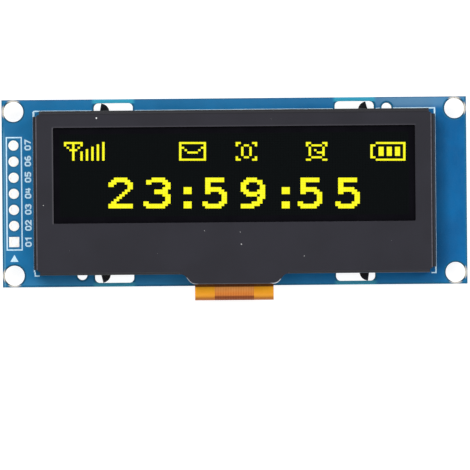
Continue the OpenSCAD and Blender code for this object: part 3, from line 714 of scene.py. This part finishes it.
# ------------------------------------------------------------ ink on the front
def strokes(ch, ru):
    """centre lines of a digit, none of which overlap; ru is half the stroke's width"""
    return {
        "0": [([(0.0, 0.5), (0.0, 0.8), (0.15, 1.0), (0.4, 1.0), (0.55, 0.8), (0.55, 0.2), (0.4, 0.0), (0.15, 0.0), (0.0, 0.2), (0.0, 0.5)], False)],
        "1": [([(0.08, 0.8), (0.32, 1.0), (0.32, 0.0)], True)],
        "2": [([(0.0, 0.8), (0.15, 1.0), (0.4, 1.0), (0.55, 0.8), (0.55, 0.62), (0.03, 0.0), (0.58, 0.0)], True)],
        "3": [([(0.0, 0.92), (0.15, 1.0), (0.38, 1.0), (0.52, 0.87), (0.52, 0.74), (0.33, 0.54), (0.55, 0.36), (0.55, 0.16), (0.4, 0.0), (0.15, 0.0), (0.0, 0.08)], True)],
        "4": [([(0.06, 1.0), (0.0, 0.34), (0.42 - ru, 0.34)], False), ([(0.42, 1.0), (0.42, 0.0)], False), ([(0.42 + ru, 0.34), (0.64, 0.34)], False)],
        "5": [([(0.55, 1.0), (0.06, 1.0), (0.03, 0.56), (0.38, 0.58), (0.55, 0.42), (0.55, 0.18), (0.4, 0.0), (0.14, 0.0), (0.0, 0.08)], True)],
        "6": [([(0.52, 1.0), (0.22, 1.0), (0.0, 0.74), (0.0, 0.2), (0.15, 0.0), (0.4, 0.0), (0.55, 0.18), (0.55, 0.36), (0.42, 0.52), (ru, 0.52)], False)],
        "7": [([(0.0, 1.0), (0.56, 1.0), (0.2, 0.0)], True)],
    }[ch]


def number(b, text, x, y, h, w, turn, z0, z1, mirror=False, wide=1.0):
    """a number drawn in strokes from its lower left corner"""
    c, s = math.cos(turn), math.sin(turn)
    at = 0.0
    for ch in text:
        for line, cap in strokes(ch, w / 2 / (h * wide)):
            pts = []
            for (u, v) in line:
                u, v = (at + u) * h * wide, v * h
                if mirror:
                    u = -u
                pts.append((x + u * c - v * s, y + u * s + v * c))
            b.ribbon(pts, w, z0, z1, cap=cap)
        at += 0.85


b = Build()
# outline of the display; most of it lies under the bezel's edge
lw = 0.19
IZ0, IZ1 = Z1 - 0.002, Z1 + INK
for x0, x1, hi in ((-31.70, -22.45, 13.075), (-15.65, 0.0, 13.06), (0.0, 15.65, 13.07), (22.45, 23.10, 13.10), (25.2, 31.83, 13.125)):
    b.box(x0, 12.90, x1, hi, IZ0, IZ1)
b.box(-31.80, -12.40, -31.58, 12.90, IZ0, IZ1)
b.box(31.60, -12.40, 31.84, 12.90, IZ0, IZ1)
b.box(-31.66, 12.20, -31.48, 12.90, IZ0, IZ1 + 0.001)
b.box(-31.48, 12.94, -30.90, 13.11, IZ0, IZ1 + 0.001)
b.box(-31.68, -13.11, -31.48, -12.40, IZ0, IZ1)
b.box(-31.48, -13.11, -30.86, -12.92, IZ0, IZ1)
b.box(31.62, -13.11, 31.84, -12.40, IZ0, IZ1)
b.box(31.02, -13.11, 31.62, -12.92, IZ0, IZ1)
# box round the header row
bx0, bx1, by = -36.07, -33.51, 8.97
b.box(bx0, by - lw, bx1, by, Z1 - 0.002, Z1 + INK)
b.box(bx0, -by, bx1, -by + lw, Z1 - 0.002, Z1 + INK)
b.box(bx0, -by + lw, bx0 + lw, by - lw, Z1 - 0.002, Z1 + INK)
b.box(bx1 - lw, -by + lw, bx1, by - lw, Z1 - 0.002, Z1 + INK)
for i in range(7):
    yc = (i - 3) * 2.54
    number(b, "0" + str(i + 1), -32.20, yc - 0.66, 0.80, 0.23, math.pi / 2, Z1 - 0.002, Z1 + INK, wide=1.30)
# pin 1 mark
b.prism([(-35.5, -10.75), (-34.2, -10.75), (-34.85, -9.65)], Z1 - 0.002, Z1 + INK)
b.make("front_ink", [M["ink"]])


# ------------------------------------------------------------ tracks on the tail
def tail_point(s):
    """(y, z) on the outside of the folded tail and its outward normal, s from the top of the visible run"""
    lo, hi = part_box("flex_tail")
    top, bot = hi.z / MM, lo.z / MM
    r = (top - bot) / 2
    yc = lo.y / MM + r
    zc = (top + bot) / 2
    run = -12.9 - yc
    if s < run:
        return (-12.9 - s, top, 0.0, 1.0)
    a = (s - run) / r
    if a < math.pi:
        return (yc - r * math.sin(a), zc + r * math.cos(a), -math.sin(a), math.cos(a))
    t = (s - run) - math.pi * r
    return (yc + t, bot, 0.0, -1.0)


b = Build()
lo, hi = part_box("flex_tail")
r = (hi.z - lo.z) / MM / 2
tail_x = (lo.x + hi.x) / 2 / MM
run = -12.9 - (lo.y / MM + r)
total = run + math.pi * r + (-8.02 - (lo.y / MM + r))
fan0, fan1 = run + math.pi * r + 1.6, run + math.pi * r + 4.6
steps = [run * k / 2 for k in range(2)] + [run + math.pi * r * k / 26 for k in range(27)]
steps += [fan0 + (fan1 - fan0) * k / 6 for k in range(7)] + [total]
tw = 0.15
for i in range(24):
    k = i - 11.5
    base = len(b.v)
    for s in steps:
        y, z, ny, nz = tail_point(s)
        f = min(1.0, max(0.0, (s - fan0) / (fan1 - fan0)))
        f = f * f * (3 - 2 * f)
        x = tail_x + k * (0.26 + (0.5 - 0.26) * f)
        w = tw + 0.1 * f
        h = 0.014
        for (dx, dn) in ((-w / 2, -0.004), (w / 2, -0.004), (w / 2 - 0.02, h), (-w / 2 + 0.02, h)):
            b.v.append((x + dx, y + ny * dn, z + nz * dn))
    m = len(steps)
    for j in range(m - 1):
        p = base + 4 * j
        for e in range(4):
            q = (e + 1) % 4
            b.f.append((p + e, p + q, p + 4 + q, p + 4 + e))
            b.m.append(0)
    b.f.append((base + 3, base + 2, base + 1, base))
    p = base + 4 * (m - 1)
    b.f.append((p, p + 1, p + 2, p + 3))
    b.m += [0, 0]
tracks = b.make("tail_tracks", [M["flex_track"]], smooth=True)
bm = bmesh.new()
bm.from_mesh(tracks.data)
bmesh.ops.recalc_face_normals(bm, faces=bm.faces)
bm.to_mesh(tracks.data)
bm.free()
tracks.data.set_sharp_from_angle(angle=math.radians(35))


# ------------------------------------------------------------ rear: tracks, tented holes and ink
M["tented"] = varied("tented_hole", (6, 56, 100), (12, 66, 112), 9.0, 0.4, 0.55)
TR0, TR1 = -0.018, 0.003
SK0, SK1 = -0.032, 0.002


routes = [0]


def route(b, w, *pts, corner=0.5):
    """a track whose square corners are cut at 45 degrees"""
    routes[0] += 1
    out = [pts[0]]
    for i in range(1, len(pts) - 1):
        p = Vector(pts[i])
        a, e = Vector(pts[i - 1]) - p, Vector(pts[i + 1]) - p
        if abs(a.normalized().dot(e.normalized())) < 0.05:
            k = min(corner, a.length * 0.45, e.length * 0.45)
            out += [tuple(p + a.normalized() * k), tuple(p + e.normalized() * k)]
        else:
            out.append(tuple(p))
    out.append(pts[-1])
    b.ribbon(out, w, TR0 - 0.0005 * (routes[0] % 9), TR1)


vias = []
b = Build()
# header to the tail: nested runs along the lower edge
for k, (pin, lane, x0, pad) in enumerate(((0, -11.35, -33.0, 3), (1, -10.90, -32.5, 2), (2, -10.45, -32.0, 1), (3, -10.0, -31.5, 0))):
    y0 = (pin - 3) * 2.54
    xp = tail_x + (pad - 11.5) * 0.5
    route(b, 0.2, (-34.1, y0), (x0, y0), (x0, lane), (xp, lane), (xp, -9.7))
route(b, 0.5, (-34.1, 2.54), (-27.0, 2.54), (-25.1, 2.60))
route(b, 0.22, (-34.1, 5.08), (-30.6, 5.08), (-26.5, 9.2), (-18.2, 9.2), (-17.2, 8.2), (-17.2, 5.6), (-16.8, 5.2), (-16.2, 5.2))
route(b, 0.22, (-34.1, 7.62), (-32.0, 7.62), (-29.8, 9.8), (-17.6, 9.8), (-15.85, 8.05), (-15.85, 7.5))
route(b, 0.4, (-28.2, 0.0), (-28.2, 2.5))
# pull-up row to the tail
for j, (yj, xv, pad) in enumerate(((7.2, -3.9, 4), (5.2, -4.3, 3), (3.2, -4.7, 2), (1.2, -5.1, 1))):
    xp = tail_x + (pad - 11.5) * 0.5
    route(b, 0.2, (-13.8, yj), (xv - 1.0, yj), (xv, yj - 1.0), (xv, -5.2), (xp, -5.2 - abs(xp - xv) - 0.2), (xp, -7.0))
for xc, pad in ((-6.0, 0), (-3.0, 5), (0.0, 12), (3.0, 19), (6.0, 23)):
    xp = tail_x + (pad - 11.5) * 0.5
    route(b, 0.3, (xc, -4.6), (xc, -5.3), (xp, -5.3 - abs(xp - xc)), (xp, -7.0))
    route(b, 0.3, (xc, -2.2), (xc, -1.3))
    vias.append((xc, -1.2))
for j, pad in enumerate((7, 8, 9, 10, 13, 14, 15, 16)):
    xp = tail_x + (pad - 11.5) * 0.5
    xv = (-2.2 + 0.42 * j) if j < 4 else (0.85 + 0.42 * (j - 4))
    top = (1.2, 2.4, 3.6, 4.8, 4.8, 3.6, 2.4, 1.2)[j]
    route(b, 0.18, (xp, -7.0), (xp, -6.0), (xv, -6.0 + abs(xv - xp)), (xv, top))
    vias.append((xv, top + 0.1))
# panel supply side
for w, pts in (
        (0.20, ((5.1, -7.0), (5.1, -0.6), (7.6, 1.9), (13.4, 1.9))),
        (0.20, ((4.6, -7.0), (4.6, 0.4), (9.8, 5.6), (14.15, 5.6))),
        (0.20, ((4.1, -7.0), (4.1, 1.0), (11.4, 8.3), (20.3, 8.3), (20.9, 7.7), (21.6, 7.7))),
        (0.50, ((15.55, 2.3), (15.55, 3.1), (18.3, 3.1), (19.4, 2.0))),
        (0.60, ((22.3, 1.2), (25.2, 1.2), (25.65, 1.65), (26.9, 1.65))),
        (0.50, ((15.55, -1.1), (15.55, -3.1), (17.55, -5.1), (20.1, -5.1))),
        (0.60, ((20.4, -9.2), (20.4, -10.3), (26.0, -10.3), (27.6, -8.7), (27.6, -5.6))),
        (0.30, ((14.6, -1.1), (14.6, -2.8), (12.1, -5.3), (12.0, -5.6))),
        (0.30, ((13.65, -1.1), (13.65, -1.6), (13.1, -2.15), (9.5, -2.15))),
        (0.30, ((13.65, 2.3), (13.65, 4.5), (14.4, 5.25))),
        (0.30, ((16.6, 5.6), (20.0, 5.6), (21.6, 7.2))),
        (0.60, ((25.5, 7.2), (26.6, 7.2), (27.6, 6.2), (27.6, 5.2))),
        (0.60, ((27.6, 1.2), (27.6, -1.6))),
        (0.30, ((-9.0, -5.4), (-9.0, -4.4), (-7.0, -2.4), (-6.3, -2.4))),
        (0.22, ((-12.0, -5.4), (-12.0, -1.4), (-14.15, 0.75))),
        (0.22, ((-15.0, -5.4), (-15.0, -1.2), (-15.85, -0.35), (-15.85, 0.8))),
        (0.50, ((-18.4, -0.4), (-18.4, 0.2), (-19.8, 1.6), (-22.0, 1.6))),
        (0.40, ((-22.4, 3.7), (-22.4, 5.6), (-22.85, 6.05), (-22.85, 7.0))),
        (0.30, ((9.2, -5.4), (9.2, -4.2))),
        (0.22, ((-16.2, 3.2), (-17.0, 3.2), (-17.6, 2.6), (-17.6, 1.2))),
        (0.30, ((-20.8, 7.4), (-19.9, 7.4)))):
    route(b, w, *pts)
for x, y0, y1 in ((-9.0, -7.8, -8.5), (-12.0, -7.8, -8.5), (-15.0, -7.8, -8.5), (9.2, -7.8, -8.6), (12.0, -7.8, -8.6),
                  (-28.2, -2.4, -3.2), (-28.2, -6.8, -7.7), (-18.4, -4.4, -5.4)):
    route(b, 0.35, (x, y0), (x, y1))
    vias.append((x, y1 - 0.1))
vias += [(-17.6, 1.1), (-19.8, 7.4), (11.2, -0.4), (11.2, -1.1), (24.4, -1.4), (24.4, -2.2), (25.2, -1.8), (17.4, -8.4), (17.4, -7.6),
         (-31.0, 11.6), (-26.4, 11.8), (-12.8, 11.6), (-6.4, 12.4), (0.0, 12.9), (6.4, 12.4), (12.9, 11.6), (26.6, 11.8), (30.8, 9.4),
         (33.4, 4.6), (33.4, 0.0), (33.4, -4.6), (30.8, -9.6), (-12.6, -12.6), (-29.4, -12.6), (12.9, -12.4), (29.0, -12.8),
         (-8.2, 10.2), (8.6, 10.6), (-24.6, -5.0), (-24.6, -5.9), (30.6, 3.2), (30.6, -3.6), (23.8, 10.4), (2.0, 9.8), (-2.6, 8.6)]
for x, y in vias:
    n = 18
    base = len(b.v)
    for z, r in ((TR1, 0.31), (TR0 - 0.006, 0.29), (TR0 - 0.006, 0.15), (TR1, 0.14)):
        for i in range(n):
            a = 2 * math.pi * i / n
            b.v.append((x + r * math.cos(a), y + r * math.sin(a), z))
    for q in range(4):
        for i in range(n):
            j = (i + 1) % n
            p0, p1 = base + q * n, base + ((q + 1) % 4) * n
            b.f.append((p0 + i, p1 + i, p1 + j, p0 + j))
            b.m.append(0)
    b.disc(x, y, 0.138, TR0 + 0.012, TR1, n=14, mat=1)
rear_tracks = b.make("rear_tracks", [M["track"], M["tented"]])

# outlines of the rear parts, pin numbers, pin 1 mark
b = Build()


def line(*pts, w=0.14):
    b.ribbon(list(pts), w, SK0, SK1)


def box_lines(x0, y0, x1, y1, w=0.14):
    b.box(x0 - w / 2, y0 - w / 2, x1 + w / 2, y0 + w / 2, SK0, SK1)
    b.box(x0 - w / 2, y1 - w / 2, x1 + w / 2, y1 + w / 2, SK0, SK1)
    b.box(x0 - w / 2, y0 + w / 2, x0 + w / 2, y1 - w / 2, SK0, SK1)
    b.box(x1 - w / 2, y0 + w / 2, x1 + w / 2, y1 - w / 2, SK0, SK1)


caps = [(-9, -6.6, 90), (9.2, -6.6, 90), (12, -6.6, 90), (-6, -3.4, 90), (-3, -3.4, 90), (3, -3.4, 90), (6, -3.4, 90),
        (-28.2, -1.2, 90), (-22, 7.4, 0)]
ress = [(0, -3.4, 90), (-12, -6.6, 90), (-15, -6.6, 90), (9.2, -3.0, 90), (-15, 1.2, 0), (-15, 3.2, 0), (-15, 5.2, 0),
        (-15, 7.2, 0), (-28.2, -5.6, 90), (15.4, 5.6, 0)]
bigs = [(27.6, -3.6, 90), (27.6, 3.2, 90), (23.6, 7.2, 0), (-18.4, -2.4, 90)]
for group, side, half in ((caps, 0.74, 1.25), (ress, 0.74, 0.7), (bigs, 1.2, 2.0)):
    for x, y, a in group:
        for s_ in (-1, 1):
            if a:
                line((x + s_ * side, y - half), (x + s_ * side, y + half), w=0.13)
            else:
                line((x - half, y + s_ * side), (x + half, y + s_ * side), w=0.13)
# chips
line((12.95, -0.0), (12.95, 1.2), w=0.14)
line((16.25, -0.0), (16.25, 1.2), w=0.14)
b.disc(12.75, -0.72, 0.2, SK0, SK1, n=18)
for sy in (-1, 1):
    line((-24.5, 2.6 + sy * 1.72), (-22.7, 2.6 + sy * 1.72), w=0.14)
for sx in (-1, 1):
    line((20.4 + sx * 1.1, -8.2), (20.4 + sx * 1.1, -5.8), w=0.14)
b.box(19.2, -5.72, 19.36, -5.0, SK0, SK1)
b.box(21.44, -5.72, 21.6, -5.0, SK0, SK1)
for sx in (-1, 1):
    for sy in (-1, 1):
        xa, ya = 20.8 + sx * 2.15, 0.6 + sy * 2.15
        line((xa, ya - sy * 0.8), (xa, ya), (xa - sx * 0.8, ya), w=0.14)
# the tail's landing and the header
for sx in (-1, 1):
    line((tail_x + sx * 6.75, -9.9), (tail_x + sx * 6.75, -6.45), (tail_x + sx * 6.05, -6.45), w=0.14)
box_lines(bx0 + lw / 2, -by + lw / 2, bx1 - lw / 2, by - lw / 2, w=0.17)
b.prism([(-35.5, -10.75), (-34.2, -10.75), (-34.85, -9.65)], SK0, SK1)
for i in range(7):
    number(b, "0" + str(i + 1), -29.6, (i - 3) * 2.54 - 0.45, 0.86, 0.17, 0.0, SK0, SK1, mirror=True, wide=1.1)
b.make("rear_ink", [M["ink"]])


# ------------------------------------------------------------ dust on the bezel
M["dust"] = varied("dust", (206, 206, 208), (236, 236, 236), 9.0, 0.8, 0.9)
b = Build()
zt = 4.25
for (px, py, size) in ((-21.62, 11.78, 0.30), (-30.1, -1.9, 0.14), (-4.75, -6.1, 0.12), (0.87, -6.35, 0.11),
                       (1.02, -8.25, 0.18), (10.9, -10.2, 0.11), (24.6, -7.9, 0.05), (-12.2, -9.6, 0.05),
                       (5.9, 11.4, 0.05), (-26.0, -9.1, 0.05)):
    n = 9
    ring_pts = []
    for i in range(n):
        a = 2 * math.pi * i / n
        rr = size / 2 * (0.65 + 0.6 * rng.random())
        ring_pts.append((px + rr * math.cos(a), py + rr * math.sin(a)))
    b.prism(ring_pts, zt - 0.002, zt + size * 0.16)
b.make("dust_specks", [M["dust"]])


# ------------------------------------------------------------ light and floor
floor_z = cad_lo.z
bm = bmesh.new()
n = 24
half = 0.6
grid = [[bm.verts.new((half * (2 * i / n - 1), half * (2 * j / n - 1), floor_z)) for j in range(n + 1)] for i in range(n + 1)]
for i in range(n):
    for j in range(n):
        bm.faces.new((grid[i][j], grid[i + 1][j], grid[i + 1][j + 1], grid[i][j + 1]))
me = bpy.data.meshes.new("floor")
bm.to_mesh(me)
bm.free()
floor = bpy.data.objects.new("floor", me)
scene.collection.objects.link(floor)
g = Graph("floor_paper")
n1 = g.noise(0.05, 3.0)
g.set(color=g.mix(g.step(n1, 0.3, 0.7), lin((148, 148, 149)), lin((154, 154, 155))), rough=0.9, spec=0.05,
      emit=(1.0, 1.0, 1.0, 1.0), emit_w=0.86)
me.materials.append(g.mat)

world = bpy.data.worlds.new("studio")
scene.world = world
world.use_nodes = True
wn, wl = world.node_tree.nodes, world.node_tree.links
bg = [q for q in wn if q.type == "BACKGROUND"][0]
tc = wn.new("ShaderNodeTexCoord")
sx = wn.new("ShaderNodeSeparateXYZ")
wl.new(tc.outputs["Generated"], sx.inputs[0])
mr = wn.new("ShaderNodeMapRange")
mr.interpolation_type = "SMOOTHSTEP"
wl.new(sx.outputs[2], mr.inputs["Value"])
mr.inputs["From Min"].default_value = 0.80
mr.inputs["From Max"].default_value = 0.985
mr.inputs["To Min"].default_value = 0.55
mr.inputs["To Max"].default_value = 0.04
wl.new(mr.outputs[0], bg.inputs["Strength"])
bg.inputs["Color"].default_value = (0.97, 0.985, 1.0, 1.0)


def softbox(name, loc, aim, size, size_y, power, color=(1, 1, 1)):
    d = bpy.data.lights.new(name, "AREA")
    d.shape = "RECTANGLE"
    d.size = size
    d.size_y = size_y
    d.energy = power
    d.color = color
    ob = bpy.data.objects.new(name, d)
    scene.collection.objects.link(ob)
    ob.location = loc
    ob.rotation_euler = (Vector(aim) - Vector(loc)).to_track_quat("-Z", "Y").to_euler()
    return ob


softbox("key", (-0.22, 0.42, 0.42), (0, 0, 0), 0.42, 0.30, 2.6)
softbox("fill", (0.42, 0.18, 0.36), (0, 0, 0), 0.30, 0.30, 1.2)
softbox("low", (0.05, -0.50, 0.34), (0, 0, 0), 0.50, 0.22, 1.1)
